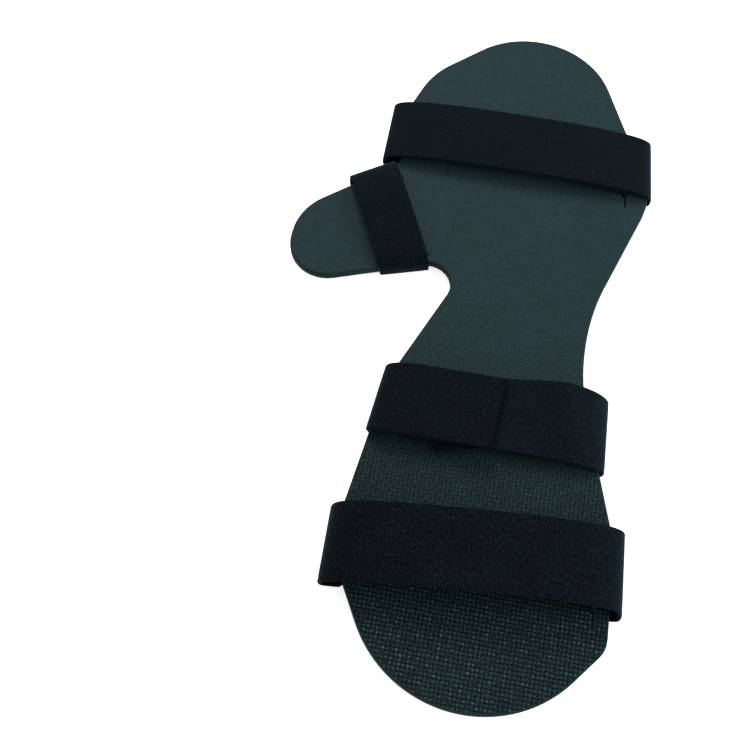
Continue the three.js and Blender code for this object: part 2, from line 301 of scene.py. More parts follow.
# Node materials
def new_material(name, roughness, **values):
    """A Principled material with constant values on the shader's own sockets."""
    material = bpy.data.materials.new(name)
    material.use_nodes = True
    shader = material.node_tree.nodes["Principled BSDF"]
    shader.inputs["Roughness"].default_value = roughness
    for socket, value in values.items():
        shader.inputs[socket.replace("_", " ")].default_value = value
    return material, material.node_tree, shader


def add_node(tree, kind, settings=None, **inputs):
    """A node with its settings and input values; an input given as a socket is linked."""
    node = tree.nodes.new(kind)
    for key, value in (settings or {}).items():
        setattr(node, key, value)
    for key, value in inputs.items():
        socket = node.inputs[int(key[1:])] if key[1:].isdigit() else node.inputs[key.replace("_", " ")]
        if isinstance(value, bpy.types.NodeSocket):
            tree.links.new(value, socket)
        else:
            socket.default_value = value
    return node


def maths(tree, operation, *values):
    """Result of a maths node."""
    inputs = {f"_{i}": value for i, value in enumerate(values)}
    return add_node(tree, "ShaderNodeMath", {"operation": operation}, **inputs).outputs["Value"]


def ramp_share(tree, value, low, high):
    """Share of the way from low to high, held between 0 and 1."""
    return add_node(tree, "ShaderNodeMapRange", Value=value, From_Min=low, From_Max=high).outputs["Result"]


def colour_ramp(tree, factor, stops):
    """A colour ramp through (place, linear colour) stops."""
    ramp = add_node(tree, "ShaderNodeValToRGB", Fac=factor)
    elements = ramp.color_ramp.elements
    while len(elements) < len(stops):
        elements.new(0.5)
    for element, (place, colour) in zip(elements, stops):
        element.position = place
        element.color = (*colour, 1)
    return ramp.outputs["Color"]


def noise_share(tree, place, looks):
    """Noise about a middle, by its scale, detail and roughness."""
    inputs = {key: looks[key.lower()] for key in ("Scale", "Detail", "Roughness")}
    return add_node(tree, "ShaderNodeTexNoise", Vector=place, **inputs).outputs["Fac"]


def bump(tree, height, strength, depth, under=None, inverted=False):
    """Normal of a relief with a depth in millimetres, on top of another relief if one is given."""
    inputs = {"Strength": strength, "Distance": depth * MM, "Height": height}
    if under is not None:
        inputs["Normal"] = under
    return add_node(tree, "ShaderNodeBump", {"invert": inverted}, **inputs).outputs["Normal"]


def foam_material():
    """Slate-green closed-cell foam: painted highlight dots and lines of painted groove shade in step with the
    pillows, and soft mottling.
    """
    material, tree, shader = new_material("embossed_foam", 0.65, Specular_IOR_Level=0.03)
    place = add_node(tree, "ShaderNodeTexCoord").outputs["Object"]
    tone = add_node(tree, "ShaderNodeAttribute", {"attribute_name": "tone"}).outputs["Fac"]
    painted_marks = add_node(tree, "ShaderNodeAttribute", {"attribute_name": "painted_marks"}).outputs["Fac"]
    axes = add_node(tree, "ShaderNodeSeparateXYZ", Vector=place)
    turns = 2 * math.pi / (EMBOSS_PITCH * MM)
    wave_x, wave_y = (
        maths(tree, "COSINE", maths(tree, "MULTIPLY", axes.outputs[axis], turns)) for axis in ("X", "Y")
    )
    both = maths(tree, "ADD", wave_x, wave_y)
    either = maths(tree, "MAXIMUM", wave_x, wave_y)
    # Pale dots on the pillows are painted highlight; the lines and crossings in the grooves are painted shade
    for wave, looks in ((both, HIGHLIGHT_DOTS), (either, SHADED_LINES), (wave_y, SHADED_ROWS), (both, SHADED_CROSSINGS)):
        mark = maths(tree, "MULTIPLY", ramp_share(tree, wave, looks["none"], looks["full"]), looks["tone"])
        tone = maths(tree, "MULTIPLY_ADD", mark, painted_marks, tone)
    specks = maths(tree, "SUBTRACT", noise_share(tree, place, SPECKS), NOISE_MIDDLE)
    tone = maths(tree, "MULTIPLY_ADD", maths(tree, "MULTIPLY", specks, SPECKS["tone"]), painted_marks, tone)
    blotches, patches, grain = (noise_share(tree, place, looks) for looks in (BLOTCHES, PATCHES, GRAIN))
    for mottle, looks in ((blotches, BLOTCHES), (patches, PATCHES), (grain, GRAIN)):
        tone = maths(tree, "MULTIPLY_ADD", mottle, looks["tone"], tone)
    colour = colour_ramp(tree, ramp_share(tree, tone, DARKEST_TONE, PALEST_TONE), FOAM_SHADES)
    tree.links.new(colour, shader.inputs["Base Color"])
    rough = add_node(tree, "ShaderNodeMapRange", Value=blotches, To_Min=0.55, To_Max=0.75)
    tree.links.new(rough.outputs["Result"], shader.inputs["Roughness"])
    pores = bump(tree, grain, strength=0.35, depth=0.12)
    cells = add_node(tree, "ShaderNodeTexVoronoi", Vector=place, Scale=1500).outputs["Distance"]
    skin = bump(tree, cells, strength=0.25, depth=0.1, under=pores)
    tree.links.new(skin, shader.inputs["Normal"])
    return material


def strap_material(name, seed, tone, nap):
    """Navy-black brushed loop fabric: clumped nap, stray pale fibres, a soft sheen and, on the tab, painted
    shade at its ends.
    """
    material, tree, shader = new_material(
        name, 0.95, Specular_IOR_Level=0.02, Sheen_Weight=0.1, Sheen_Roughness=0.4,
        Sheen_Tint=(0.25, 0.5, 0.68, 1),
    )
    cloth = add_node(tree, "ShaderNodeUVMap", {"uv_map": "cloth"}).outputs["UV"]
    shift = [seed * step for step in STRAP_SHIFT]
    place = add_node(tree, "ShaderNodeMapping", Vector=cloth, Location=shift).outputs["Vector"]
    brushed = add_node(tree, "ShaderNodeMapping", Vector=place, Scale=BRUSHING).outputs["Vector"]
    clumps = noise_share(tree, brushed, CLUMPS)
    fibres = noise_share(tree, brushed, FIBRES)
    fading = noise_share(tree, place, FADING)
    # Painted shade that darkens the cloth near the tab's cut ends
    end_shade = add_node(tree, "ShaderNodeAttribute", {"attribute_name": "end_shade"}).outputs["Fac"]
    mixed = clumps
    for part, weight in ((fibres, FIBRES["weight"]), (fading, FADING["weight"]), (end_shade, END_SHADE_WEIGHT)):
        mixed = maths(tree, "MULTIPLY_ADD", part, weight, mixed)
    share = ramp_share(tree, mixed, MIX_MIDDLE - MIX_TO_DARK / nap, MIX_MIDDLE + MIX_TO_PALE / nap)
    shades = [(stop, [tone * part for part in shade]) for stop, shade in STRAP_SHADES]
    tree.links.new(colour_ramp(tree, share, shades), shader.inputs["Base Color"])
    tufts = bump(tree, clumps, strength=0.7, depth=0.35)
    pile = bump(tree, fibres, strength=0.6, depth=0.15, under=tufts)
    tree.links.new(pile, shader.inputs["Normal"])
    return material


def thread_material(name, dark, pale):
    """Twisted sewing thread: fine slanted bands between two tones."""
    material, tree, shader = new_material(name, 0.85, Specular_IOR_Level=0.03)
    place = add_node(tree, "ShaderNodeTexCoord").outputs["Object"]
    twist = add_node(
        tree, "ShaderNodeTexWave", {"wave_type": "BANDS", "bands_direction": "DIAGONAL"},
        Vector=place, Scale=900, Distortion=2, Detail=1,
    ).outputs["Fac"]
    colour = colour_ramp(tree, twist, [(0.1, dark), (0.9, pale)])
    tree.links.new(colour, shader.inputs["Base Color"])
    tree.links.new(bump(tree, twist, strength=0.6, depth=0.1), shader.inputs["Normal"])
    return material


def hook_material():
    """Black hook tape: rows of tiny hooks on a matte woven back."""
    material, tree, shader = new_material("hook_tape", 0.55, Specular_IOR_Level=0.3)
    place = add_node(tree, "ShaderNodeTexCoord").outputs["Object"]
    hooks = add_node(tree, "ShaderNodeTexVoronoi", Vector=place, Scale=900).outputs["Distance"]
    colour = colour_ramp(tree, hooks, [(0.1, (0.012, 0.014, 0.017)), (0.7, (0.003, 0.004, 0.005))])
    tree.links.new(colour, shader.inputs["Base Color"])
    tree.links.new(bump(tree, hooks, strength=0.8, depth=0.3, inverted=True), shader.inputs["Normal"])
    return material


def floor_material():
    """Pale matte sweep with a trace of unevenness."""
    material, tree, shader = new_material(
        "pale_floor", 0.9, Specular_IOR_Level=0.1, Emission_Color=(1, 1, 1, 1), Emission_Strength=0.65,
    )
    place = add_node(tree, "ShaderNodeTexCoord").outputs["Object"]
    cloud = add_node(tree, "ShaderNodeTexNoise", Vector=place, Scale=3, Detail=2)
    colour = colour_ramp(tree, cloud.outputs["Fac"], FLOOR_SHADES)
    tree.links.new(colour, shader.inputs["Base Color"])
    return material


# Pieces
def new_piece(name, points, faces, material, smooth_under=75):
    """A mesh object from points in millimetres, shaded smooth except at edges sharper than an angle."""
    mesh = bpy.data.meshes.new(name)
    mesh.from_pydata((np.asarray(points, float) * MM).tolist(), [], faces)
    mesh.validate()
    mesh.polygons.foreach_set("use_smooth", [True] * len(mesh.polygons))
    mesh.set_sharp_from_angle(angle=math.radians(smooth_under))
    mesh.materials.append(material)
    piece = bpy.data.objects.new(name, mesh)
    bpy.context.scene.collection.objects.link(piece)
    return piece


def stands_for(piece, node):
    """The piece rides on the splint and hides a CAD node."""
    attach(piece, "root")
    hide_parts(node)


# Foam board
def wall_loops(node, height):
    """Closed loops of (x, y) points where a node's upright wall ends at a height, outer loop first."""
    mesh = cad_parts[node].data
    places = [tuple(round(c / MM, 3) for c in vertex.co) for vertex in mesh.vertices]
    beside = {}
    for edge in mesh.edges:
        a, b = (places[i] for i in edge.vertices)
        level = max(abs(a[2] - height), abs(b[2] - height)) < LEVEL_WITHIN
        if level and a != b:
            beside.setdefault(a[:2], set()).add(b[:2])
            beside.setdefault(b[:2], set()).add(a[:2])
    loops = []
    while beside:
        here = min(beside)
        loop = []
        while here is not None:
            loop.append(here)
            ahead = [place for place in sorted(beside.pop(here)) if place in beside]
            here = ahead[0] if ahead else None
        loops.append(np.array(loop))
    loops.sort(key=lambda loop: -abs(signed_area(loop)))
    return [facing_material(loop, outer=i == 0) for i, loop in enumerate(loops)]


def signed_area(loop):
    """Area of a closed loop, above zero if it runs anticlockwise."""
    after = np.roll(loop, -1, axis=0)
    return float((loop[:, 0] * after[:, 1] - loop[:, 1] * after[:, 0]).sum() / 2)


def facing_material(loop, outer):
    """The loop in the direction that has the foam on its left."""
    return loop if (signed_area(loop) > 0) == outer else loop[::-1]


def spaced_loop(loop, step):
    """The closed loop with its corners kept and points at most a step apart."""
    points = []
    for a, b in zip(loop, np.roll(loop, -1, axis=0)):
        count = max(1, math.ceil(np.linalg.norm(b - a) / step))
        points += [a + (b - a) * i / count for i in range(count)]
    return np.array(points)


def closed_tips(slit):
    """A slit's loop snug about its strap, with tips closed to fine cuts where no strap holds it open."""
    slit = spaced_loop(slit, RIM_STEP / 2)
    middle = slit.mean(axis=0)
    axes = np.linalg.svd(slit - middle, full_matrices=False)[2]
    axes[0] *= np.sign(axes[0][1])
    along, aside = ((slit - middle) @ axis for axis in axes)
    half = np.abs(aside)
    held = along[half > HELD_OPEN_SHARE * half.max()]
    near_cut = np.maximum(0, held.min() - along)
    if near_cut.max() < HIDDEN_CUT:
        along = along + near_cut * (1 - HIDDEN_CUT_KEPT)
    beyond = np.maximum(0, np.maximum(along - held.max(), held.min() - along))
    limit = np.maximum(CUT_HALF_WIDTH, SNUG_HALF_WIDTH * (1 - beyond / CUT_CLOSES_IN))
    return middle + np.outer(along, axes[0]) + np.outer(np.sign(aside) * np.minimum(half, limit), axes[1])


def inset_loop(loop, inset):
    """The closed loop moved into the foam."""
    ahead = np.roll(loop, -1, axis=0) - np.roll(loop, 1, axis=0)
    ahead /= np.linalg.norm(ahead, axis=1)[:, None]
    return loop + inset * np.stack([-ahead[:, 1], ahead[:, 0]], axis=1)


def inside(points, loops):
    """Which points lie in the foam, by the number of loop edges to their right."""
    found = np.zeros(len(points), bool)
    for loop in loops:
        for a, b in zip(loop, np.roll(loop, -1, axis=0)):
            low, high = (a, b) if a[1] < b[1] else (b, a)
            rows = (points[:, 1] >= low[1]) & (points[:, 1] < high[1])
            if rows.any():
                share = (points[rows, 1] - low[1]) / (high[1] - low[1])
                found[rows] ^= points[rows, 0] < low[0] + share * (high[0] - low[0])
    return found


def distance_to(points, loops):
    """How far each point is from the nearest loop."""
    painted_marks = np.concatenate([spaced_loop(loop, CLEAR_TEST_STEP) for loop in loops])
    tree = KDTree(len(painted_marks))
    for i, mark in enumerate(painted_marks):
        tree.insert((*mark, 0), i)
    tree.balance()
    return np.array([tree.find((x, y, 0))[2] for x, y in points])


def flat_fill(loops, extra_points, extra_edges):
    """Triangles between loops and extra edges, as indices into the loops' points and then the extra ones."""
    points = np.concatenate([*loops, extra_points])
    edges = [tuple(edge) for edge in extra_edges]
    start = 0
    for loop in loops:
        edges += [(start + i, start + (i + 1) % len(loop)) for i in range(len(loop))]
        start += len(loop)
    _, _, faces, sources, _, _ = delaunay_2d_cdt([Vector(p) for p in points], edges, [], 0, FILL_WITHIN)
    triangles = np.array([[sources[i][0] for i in face] for face in faces])
    middles = points[triangles].mean(axis=1)
    keep = inside(middles, loops)
    return triangles[keep], middles[keep]


def emboss(column, row, y, unevenness):
    """Drop below the pillows' peaks, tone of the foam with its painted sheen and shade, and strength of the
    painted highlight and shade marks at lattice points.
    """
    dashed = np.clip((y - DASHES_UP_FROM) / (ALL_DASHES_FROM - DASHES_UP_FROM), 0, 1)
    kept = grid_fade(y)
    step_along, step_across = row % EMBOSS_STEPS, column % EMBOSS_STEPS
    pillow = (column // EMBOSS_STEPS, row // EMBOSS_STEPS)
    sunk = unevenness[pillow[0] % UNEVEN_REPEAT, pillow[1] % UNEVEN_REPEAT]
    dash = dashed * (step_across == 0) * ((pillow[0] + pillow[1]) % 2)
    off_peak = (step_across != PEAK_ACROSS).astype(int) + (step_along != PEAK_ALONG)
    groove = GROOVE_DROP + DASH_DROP * dash
    top = PEAK_FALL * off_peak + UNEVEN_DROP * sunk
    drop = np.where((step_along == 0) | (step_across == 0), groove, top)
    drop = EMBOSS_DEPTH * (drop * kept + WORN_DROP * (1 - kept))
    # Worn foam is paler with painted sheen, and the dashes are darker with painted shade in their deeper
    # grooves
    tone = WORN_SHEEN_TONE + (CRISP_TONE - WORN_SHEEN_TONE + UNEVEN_TONE * (MEAN_SUNK - sunk) + DASH_SHADE_TONE * dash) * kept
    painted_marks = kept * (1 + (MARKS_AMONG_DASHES - 1) * dashed)
    painted_marks = painted_marks * (MARKS_ON_TALL + (MARKS_ON_SUNK - MARKS_ON_TALL) * sunk)
    return drop, tone, painted_marks


def grid_fade(y):
    """Share of the new depth that the grid keeps at a place from the forearm to the hand; it also fades the
    painted marks and brings the tone to the paler painted sheen.
    """
    share = np.clip((y - CRISP_UP_TO) / (WORN_FROM - CRISP_UP_TO), 0, 1)
    return 1 + (WORN_SHARE - 1) * share * (2 - share)


def wobble(places):
    """The lattice points moved a little, as the grid of the foam is not quite straight."""
    x, y = places[:, 0], places[:, 1]
    return places + np.stack([swaying(WOBBLE_ASIDE, y, x), swaying(WOBBLE_AHEAD, x, y)], axis=1)


def swaying(wave, ahead, beside):
    """Shift of points by a wave along one axis that sways along the other."""
    return WOBBLE * np.sin(ahead / wave["length"] + wave["sway"] * np.sin(beside / wave["sway_length"]))


def foam_board():
    """The embossed board: lattice of pillows, a plain band to the rim, round rims, slits and a flat back."""
    outline, *slits = wall_loops("foam_board", BOARD_FACE - BOARD_EDGE_ROUND)
    loops = [outline] + [closed_tips(slit) for slit in slits]
    rims = [spaced_loop(loop, RIM_STEP) for loop in loops]
    face_rims = [inset_loop(rim, RIM[0]["inset"]) for rim in rims]
    low, high = loops[0].min(axis=0), loops[0].max(axis=0)
    first = np.floor(low / CELL).astype(int)
    size = np.ceil(high / CELL).astype(int) - first + 1
    column, row = np.meshgrid(np.arange(size[0]), np.arange(size[1]), indexing="ij")
    lattice = np.stack([(column + first[0]) * CELL, (row + first[1]) * CELL], axis=-1).reshape(-1, 2)
    ok = inside(lattice, loops)
    ok[ok] = distance_to(lattice[ok], loops) > RIM_CLEAR
    ok = ok.reshape(size)
    whole = ok[:-1, :-1] & ok[1:, :-1] & ok[1:, 1:] & ok[:-1, 1:]

    # Rim points come first, ring by ring from the face to the back, then the lattice points in use
    rim_count = sum(len(rim) for rim in rims)
    levels = [(step["inset"], BOARD_FACE - step["down"]) for step in RIM]
    levels += [(step["inset"], BOARD_BACK + step["down"]) for step in reversed(RIM)]
    rings = []
    for inset, height in levels:
        ring = np.concatenate([inset_loop(rim, inset) for rim in rims])
        rings.append(np.column_stack([ring, np.full(rim_count, height)]))
    number = np.arange(size[0] * size[1]).reshape(size)
    corners = (number[:-1, :-1], number[1:, :-1], number[1:, 1:], number[:-1, 1:])
    quads = np.stack([corner[whole] for corner in corners], axis=1)
    used, quads = np.unique(quads, return_inverse=True)
    quads = quads.reshape(-1, 4)
    unevenness = np.random.default_rng(UNEVEN_SEED).uniform(0, 1, (UNEVEN_REPEAT, UNEVEN_REPEAT))
    columns, rows = column.reshape(-1)[used] + first[0], row.reshape(-1)[used] + first[1]
    drop, tone, painted_marks = emboss(columns, rows, lattice[used][:, 1], unevenness)
    face_points = np.column_stack([wobble(lattice[used]), BOARD_FACE - drop])
    points = np.concatenate([*rings, face_points])

    # Open edges of the lattice bound the band that reaches out to the rim
    sides = np.concatenate([quads[:, [i, (i + 1) % 4]] for i in range(4)])
    both, uses = np.unique(np.sort(sides, axis=1), axis=0, return_counts=True)
    border, open_edges = np.unique(both[uses == 1], return_inverse=True)
    open_edges = open_edges.reshape(-1, 2)
    band, middles = flat_fill(face_rims, lattice[used][border], open_edges + rim_count)
    cell = np.floor(middles / CELL).astype(int) - first
    cell = np.clip(cell, 0, np.array(whole.shape) - 1)
    band = band[~whole[cell[:, 0], cell[:, 1]]]
    lattice_start = rim_count * len(levels)
    band = np.where(band < rim_count, band, lattice_start + border[np.maximum(band - rim_count, 0)])
    back, _ = flat_fill(face_rims, np.zeros((0, 2)), [])
    back = back + rim_count * (len(levels) - 1)

    faces = (quads + lattice_start).tolist()
    faces += upward(band, points).tolist()
    faces += upward(back, points)[:, ::-1].tolist()
    start = 0
    for rim in rims:
        ring = start + np.arange(len(rim))
        after = np.roll(ring, -1)
        for level in range(len(levels) - 1):
            above, below = level * rim_count, (level + 1) * rim_count
            faces += np.stack([ring + above, ring + below, after + below, after + above], axis=1).tolist()
        start += len(rim)
    piece = new_piece("embossed_foam_board", points, faces, foam_material())
    # The rim's face ring takes the worn foam's tone with its painted sheen; the rings below take the wall's
    # painted shade
    rim_tone = np.repeat([WORN_SHEEN_TONE] + [WALL_SHADE_TONE] * (len(levels) - 1), rim_count)
    for name, values in (("tone", [rim_tone, tone]), ("painted_marks", [np.zeros(lattice_start), painted_marks])):
        piece.data.attributes.new(name, "FLOAT", "POINT").data.foreach_set("value", np.concatenate(values))
    stands_for(piece, "foam_board")


def upward(triangles, points):
    """The triangles turned to face up."""
    a, b, c = (points[triangles[:, i], :2] for i in range(3))
    turn = (b[:, 0] - a[:, 0]) * (c[:, 1] - a[:, 1]) - (b[:, 1] - a[:, 1]) * (c[:, 0] - a[:, 0])
    return np.where((turn > 0)[:, None], triangles, triangles[:, ::-1])


# Straps
def top_height(strap, along, across):
    """Height of a strap's middle layer at a place along and across its top run."""
    crown = strap["crown"]
    end = strap.get("left" if along < crown["along"] else "right")
    crown_height = BOARD_FACE + crown["lift"] + crown["roll"] * across / (strap["width"] / 2)
    if end:
        share = min(1, abs((along - crown["along"]) / (end["fold"] - crown["along"])))
        power = strap["square"]
        return BOARD_MIDDLE + (crown_height - BOARD_MIDDLE) * (1 - share ** power) ** (1 / power)
    free = strap["free"]
    share = min(1, (along - crown["along"]) / (free["settle"] - crown["along"]))
    lift = free["lift"] + (free["end_lift"] - free["lift"]) * past_settle(free, along)
    return crown_height + (BOARD_FACE + lift - crown_height) * share * share * (3 - 2 * share)


def past_settle(free, along):
    """Share of the straight last part of a free run that lies behind a place along it."""
    return max(0, (along - free["settle"]) / (free["end"] - free["settle"]))


def turn_at(strap, along):
    """Turn of the lines across a strap, in degrees, at a place along it."""
    crown = strap["crown"]["along"]
    end = strap.get("left" if along < crown else "right")
    out = abs(along - crown)
    if not end:
        return strap["free"]["turn"] * out / abs(strap["free"]["end"] - crown)
    slit_out, fold_out = abs(end["slit"] - crown), abs(end["fold"] - crown)
    if out < slit_out:
        return end["slit_turn"] * min(1, out / (slit_out - SLIT_WIDTH))
    past = max(0, (out - slit_out - SLIT_WIDTH) / (fold_out - slit_out - SLIT_WIDTH))
    return end["slit_turn"] + (end["fold_turn"] - end["slit_turn"]) * past


def arc(radius, start, stop, side, middle, steps=8):
    """Points of an arc in degrees about a middle (along, shift, height), mirrored for a strap's left side."""
    angles = np.radians(np.linspace(start, stop, steps + 1))
    along, shift, height = middle
    return [(along + side * radius * math.cos(a), shift, height + radius * math.sin(a)) for a in angles]


def draw_share(strap, across):
    """Share of a draw that a line along a strap takes: all at the near edge, none at the far one."""
    return 0.5 - across / strap["width"]


def end_loop(strap, end, side, across, steps=12):
    """Middle layer of one end: from the tail's end down the slit, under the rail and up outside it."""
    slit_shift = end["slit_draw"] * draw_share(strap, across)
    fold_shift = end["fold_draw"] * draw_share(strap, across)
    tail_height = lambda along, shift: top_height(strap, along, across + shift) - LAYER_STEP
    points = []
    for share in np.linspace(0, 1, steps, endpoint=False):
        along = end["slit"] - side * (end["tail"] + (SLIT_BEND - end["tail"]) * share)
        points.append((along, slit_shift * share, tail_height(along, slit_shift * share)))
    slit_in, slit_out = end["slit"] - side * SLIT_BEND, end["slit"] + side * SLIT_BEND
    fold_in = end["fold"] - side * FOLD_BEND
    slit_top = tail_height(slit_in, slit_shift) - SLIT_BEND
    points += arc(SLIT_BEND, 90, 0, side, (slit_in, slit_shift, slit_top))
    points += arc(SLIT_BEND, 180, 270, side, (slit_out, slit_shift, UNDER_RAIL + RAIL_RISE + SLIT_BEND))
    points.append(((slit_out + fold_in) / 2, fold_shift, UNDER_RAIL))
    points += arc(FOLD_BEND, 270, 360, side, (fold_in, fold_shift, UNDER_RAIL + FOLD_BEND))
    return points


def shoulder(strap, end, across, steps=60):
    """Middle layer of the top run from beside the crown out to a fold."""
    crown, power = strap["crown"], strap["square"]
    rise = top_height(strap, crown["along"], across) - BOARD_MIDDLE
    fold_shift = end["fold_draw"] * draw_share(strap, across)
    points = []
    for angle in np.linspace(math.pi / 2, 0, steps + 1)[1:]:
        out, up = (max(0, value) ** (2 / power) for value in (math.cos(angle), math.sin(angle)))
        along = crown["along"] + (end["fold"] - crown["along"]) * out
        points.append((along, fold_shift * (1 - up) ** 2, BOARD_MIDDLE + rise * up))
    return points


def free_run(strap, across, steps=60):
    """Middle layer of the top run from beside the crown to a free end."""
    free = strap["free"]
    places = np.linspace(strap["crown"]["along"], free["end"], steps + 1)[1:]
    return [(a, free["sway"] * past_settle(free, a), top_height(strap, a, across)) for a in places]


def strap_path(strap, across):
    """One line along the whole middle layer of a strap as (along, shift, height) points, left end first."""
    left, right, crown = strap.get("left"), strap.get("right"), strap["crown"]["along"]
    points = free_run(strap, across)[::-1] if not left else (
        end_loop(strap, left, -1, across) + shoulder(strap, left, across)[::-1]
    )
    points.append((crown, 0, top_height(strap, crown, across)))
    points += free_run(strap, across) if not right else (
        shoulder(strap, right, across) + end_loop(strap, right, 1, across)[::-1]
    )
    return np.array(points)


def even_lines(path_at, columns):
    """Lines of (along, shift, height) points at places across a strap, and how far along each row is."""
    middle = path_at(0)
    gone = np.concatenate([[0], np.cumsum(np.linalg.norm(np.diff(middle, axis=0), axis=1))])
    rows = np.linspace(0, gone[-1], math.ceil(gone[-1] / ROW_STEP) + 1)
    lines = [path_at(across) for across in columns]
    return np.array([[np.interp(rows, gone, line[:, k]) for k in range(3)] for line in lines]), rows


def strap_point(strap, along, across, height):
    """A place of the strap's own frame in the row frame."""
    turned = along + across * math.tan(math.radians(turn_at(strap, along)))
    heading = math.radians(strap["heading"])
    x = strap["x"] + turned * math.cos(heading) - across * math.sin(heading)
    y = strap["y"] + turned * math.sin(heading) + across * math.cos(heading)
    return x, y, height


def across_columns(width):
    """Places across a strap, from its near edge to its far one, closer together where the edges are round."""
    half = width / 2
    round_off = half - EDGE_ROUND
    angles = np.linspace(0, math.pi / 2, EDGE_COLUMNS + 1)
    edge = half - EDGE_ROUND * (1 - np.sin(angles[::-1]))
    count = math.ceil(2 * round_off / COLUMN_STEP)
    middle = np.linspace(-round_off, round_off, count + 1)[1:-1]
    return np.concatenate([-edge, middle, edge[::-1]])


def edge_share(across, width):
    """Share of the full thickness at a place across a strap: round edges and a fine line beside each."""
    beyond = max(0, (abs(across) - (width / 2 - EDGE_ROUND)) / EDGE_ROUND)
    inner = (width / 2 - SELVEDGE_IN - abs(across)) / SELVEDGE_WIDTH
    return math.sqrt(max(0, 1 - beyond ** 2)) * (1 - SELVEDGE_DEPTH * math.exp(-inner ** 2))


def ribbon(name, strap, path_at, thickness, width, material, seams=()):
    """A closed ribbon of cloth about its middle layer, with a soft uneven nap and dents along its seams.

    The two sides of the cloth lie apart in its texture coordinates.
    """
    columns = across_columns(width)
    lines, rows = even_lines(path_at, columns)
    ahead = np.gradient(lines[:, [0, 2]], axis=2)
    ahead /= np.linalg.norm(ahead, axis=1)[:, None]
    ring = [(k, 1) for k in range(1, len(columns))] + [(k, -1) for k in reversed(range(len(columns) - 1))]
    points, cloth, end_shade = [], [], []
    for i, gone in enumerate(rows):
        from_end = min(gone, rows[-1] - gone)
        thinning = END_THICKNESS + (1 - END_THICKNESS) * min(1, from_end / END_ROUND)
        for k, side in ring:
            across = columns[k]
            along, shift, height = lines[k, :, i]
            out, up = -ahead[k, 1, i], ahead[k, 0, i]
            half = side * thickness / 2 * edge_share(across, width) * thinning
            if side > 0 and up > FACES_UP and height > BOARD_FACE:
                half -= seam_dent(seams, along, across)
            nap = noise.noise((gone / NAP_SIZE, across / NAP_SIZE, side * NAP_SIDE_SHIFT))
            half -= side * abs(nap * NAP_HEIGHT)
            points.append(strap_point(strap, along + out * half, across + shift, height + up * half))
            cloth.append((gone * MM, (across + side * 2 * width) * MM))
            # Both ends of the tab's cloth darken, a painted shade along its cut ends
            end_shade.append(math.exp(-((from_end / END_SHADE_REACH) ** 2)) if seams else 0)
    count = len(ring)
    faces = []
    for i in range(len(rows) - 1):
        for k in range(count):
            a, b = i * count + k, i * count + (k + 1) % count
            faces.append((a, a + count, b + count, b))
    faces.append(tuple(range(count)))
    faces.append(tuple(reversed(range((len(rows) - 1) * count, len(rows) * count))))
    piece = new_piece(name, points, faces, material)
    piece.data.attributes.new("end_shade", "FLOAT", "POINT").data.foreach_set("value", end_shade)
    layer = piece.data.uv_layers.new(name="cloth")
    for loop in piece.data.loops:
        layer.data[loop.index].uv = cloth[loop.vertex_index]
    return piece, float(rows[-1])


def seam_dent(seams, along, across):
    """How far the stitches of the seams near a place pull the cloth down."""
    dent = 0
    for (a0, c0), (a1, c1) in seams:
        run = np.array([a1 - a0, c1 - c0])
        share = np.clip(((along - a0) * run[0] + (across - c0) * run[1]) / (run @ run), 0, 1)
        apart = math.hypot(along - a0 - share * run[0], across - c0 - share * run[1])
        dent = max(dent, SEAM_DENT * math.exp(-((apart / SEAM_DENT_WIDTH) ** 2)))
    return dent


def stitches(name, strap, seams, material):
    """One object with all stitches of the seams: arches that dip into the cloth, none quite in line."""
    points, faces = [], []
    chance = np.random.default_rng(STITCH_SEED)
    for start, end in seams:
        start, end = np.array(start, float), np.array(end, float)
        length = np.linalg.norm(end - start)
        count = max(1, round(length / (STITCH_LENGTH + STITCH_GAP)))
        for i in range(count):
            spot = (i + 0.5 + chance.uniform(-STITCH_SLIP, STITCH_SLIP)) / count
            reach = STITCH_LENGTH * chance.uniform(STITCH_SHORTEST, STITCH_LONGEST) / 2 / length
            aside = chance.uniform(-STITCH_WANDER, STITCH_WANDER, (2, 2))
            first, last = (start + (end - start) * (spot + side * reach) for side in (-1, 1))
            thread(strap, first + aside[0], last + aside[1], points, faces)
    return new_piece(name, points, faces, material)


def thread(strap, start, end, points, faces):
    """Adds one stitch, a short tube that rises from the cloth and dips back into it."""
    base = len(points)
    line = []
    for share in np.linspace(0, 1, STITCH_ROWS):
        along, across = start + (end - start) * share
        surface = top_height(strap, along, across) + STRAP_THICKNESS / 2 - SEAM_DENT
        lift = STITCH_RISE * math.sin(math.pi * share) - STITCH_SINK * (1 - math.sin(math.pi * share))
        line.append(Vector(strap_point(strap, along, across, surface + lift)))
    for i, place in enumerate(line):
        ahead = (line[min(i + 1, len(line) - 1)] - line[max(i - 1, 0)]).normalized()
        level = ahead.cross(Vector((0, 0, 1))).normalized()
        upright = level.cross(ahead)
        for k in range(STITCH_SIDES):
            angle = 2 * math.pi * k / STITCH_SIDES
            points.append(place + STITCH_RADIUS * (level * math.cos(angle) + upright * math.sin(angle)))
    for i in range(len(line) - 1):
        for k in range(STITCH_SIDES):
            a, b = base + i * STITCH_SIDES + k, base + i * STITCH_SIDES + (k + 1) % STITCH_SIDES
            faces.append((a, a + STITCH_SIDES, b + STITCH_SIDES, b))
    faces.append(tuple(base + k for k in range(STITCH_SIDES)))
    last = base + (len(line) - 1) * STITCH_SIDES
    faces.append(tuple(last + k for k in reversed(range(STITCH_SIDES))))


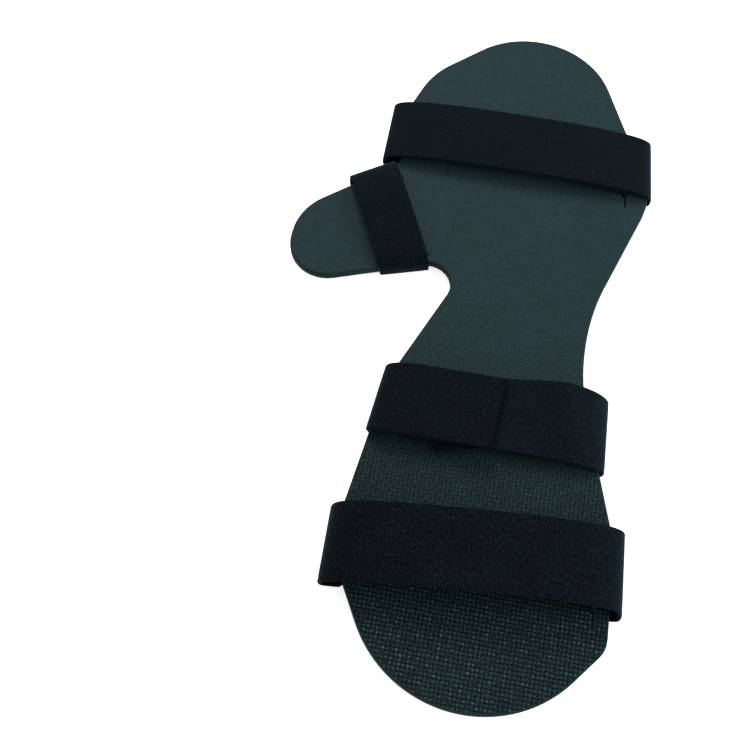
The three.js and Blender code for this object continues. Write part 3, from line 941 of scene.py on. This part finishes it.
def straps():
    """Every strap as a sheet of cloth, and the stitches of the tab."""
    for seed, (node, strap) in enumerate(STRAPS.items()):
        tab = node == "wrist_strap_left"
        piece, length = ribbon(
            node + "_cloth", strap, lambda across: strap_path(strap, across), STRAP_THICKNESS, strap["width"],
            strap_material(node + "_cloth", seed, strap["tone"], strap["nap"]), TAB_SEAMS if tab else (),
        )
        stands_for(piece, node)
    thread_looks = thread_material("pale_thread", (0.006, 0.009, 0.010), (0.021, 0.028, 0.031))
    pale = stitches("tab_stitches", STRAPS["wrist_strap_left"], TAB_SEAMS, thread_looks)
    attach(pale, "root")


def hook_patch():
    """The strip of hook tape under the tab."""
    strap = STRAPS["wrist_strap_left"]
    places = np.linspace(HOOK_START, HOOK_END, HOOK_PLACES)
    path_at = lambda across: np.array([(a, 0, top_height(strap, a, across) - HOOK_STEP) for a in places])
    piece, _ = ribbon("hook_tape", strap, path_at, HOOK_THICKNESS, HOOK_WIDTH, hook_material())
    stands_for(piece, "wrist_hook_patch")


# Stage
def floor():
    """Pale floor that the splint lies on."""
    corners = [(x * FLOOR_HALF, y * FLOOR_HALF, 0) for x, y in ((-1, -1), (1, -1), (1, 1), (-1, 1))]
    mesh = bpy.data.meshes.new("floor")
    mesh.from_pydata(corners, [], [(0, 1, 2, 3)])
    mesh.materials.append(floor_material())
    plane = bpy.data.objects.new("floor", mesh)
    bpy.context.scene.collection.objects.link(plane)


def area_light(name, place, target, size, power, colour):
    """A square soft light that points at a target."""
    data = bpy.data.lights.new(name, "AREA")
    data.size = size
    data.energy = power
    data.color = colour
    lamp = bpy.data.objects.new(name, data)
    lamp.location = place
    lamp.rotation_euler = (Vector(target) - Vector(place)).to_track_quat("-Z", "Y").to_euler()
    bpy.context.scene.collection.objects.link(lamp)


def lights():
    """A soft sky, a broad light beyond the fingertips and a weaker one at the right."""
    world = bpy.data.worlds.new("soft_sky")
    world.use_nodes = True
    sky = world.node_tree.nodes["Background"]
    sky.inputs["Color"].default_value = SKY_COLOUR
    sky.inputs["Strength"].default_value = SKY_STRENGTH
    bpy.context.scene.world = world
    for name, light in LIGHTS.items():
        area_light(name, **light)


def camera():
    """The photograph's viewpoint."""
    tilt, turn, roll = (math.radians(a) for a in (CAMERA_TILT, CAMERA_TURN, CAMERA_ROLL))
    right = Vector((math.cos(turn), -math.sin(turn), 0))
    away = Vector((math.sin(turn), math.cos(turn), 0))
    back = Vector((0, 0, math.cos(tilt))) - away * math.sin(tilt)
    up = Vector((0, 0, math.sin(tilt))) + away * math.cos(tilt)
    rolled_right = right * math.cos(roll) - up * math.sin(roll)
    rolled_up = right * math.sin(roll) + up * math.cos(roll)
    place = (Vector(LOOK_AT) + back * CAMERA_DISTANCE) * MM
    data = bpy.data.cameras.new("camera")
    data.lens = FOCAL_LENGTH
    data.sensor_width = SENSOR_WIDTH
    data.clip_start = CLIP_START * MM
    lens = bpy.data.objects.new("camera", data)
    axes = Matrix((rolled_right, rolled_up, back)).transposed()
    lens.matrix_world = Matrix.Translation(place) @ axes.to_4x4()
    bpy.context.scene.collection.objects.link(lens)
    bpy.context.scene.camera = lens


foam_board()
straps()
hook_patch()
floor()
lights()
camera()
bpy.context.scene.view_settings.view_transform = "Standard"

bpy.context.view_layer.update()
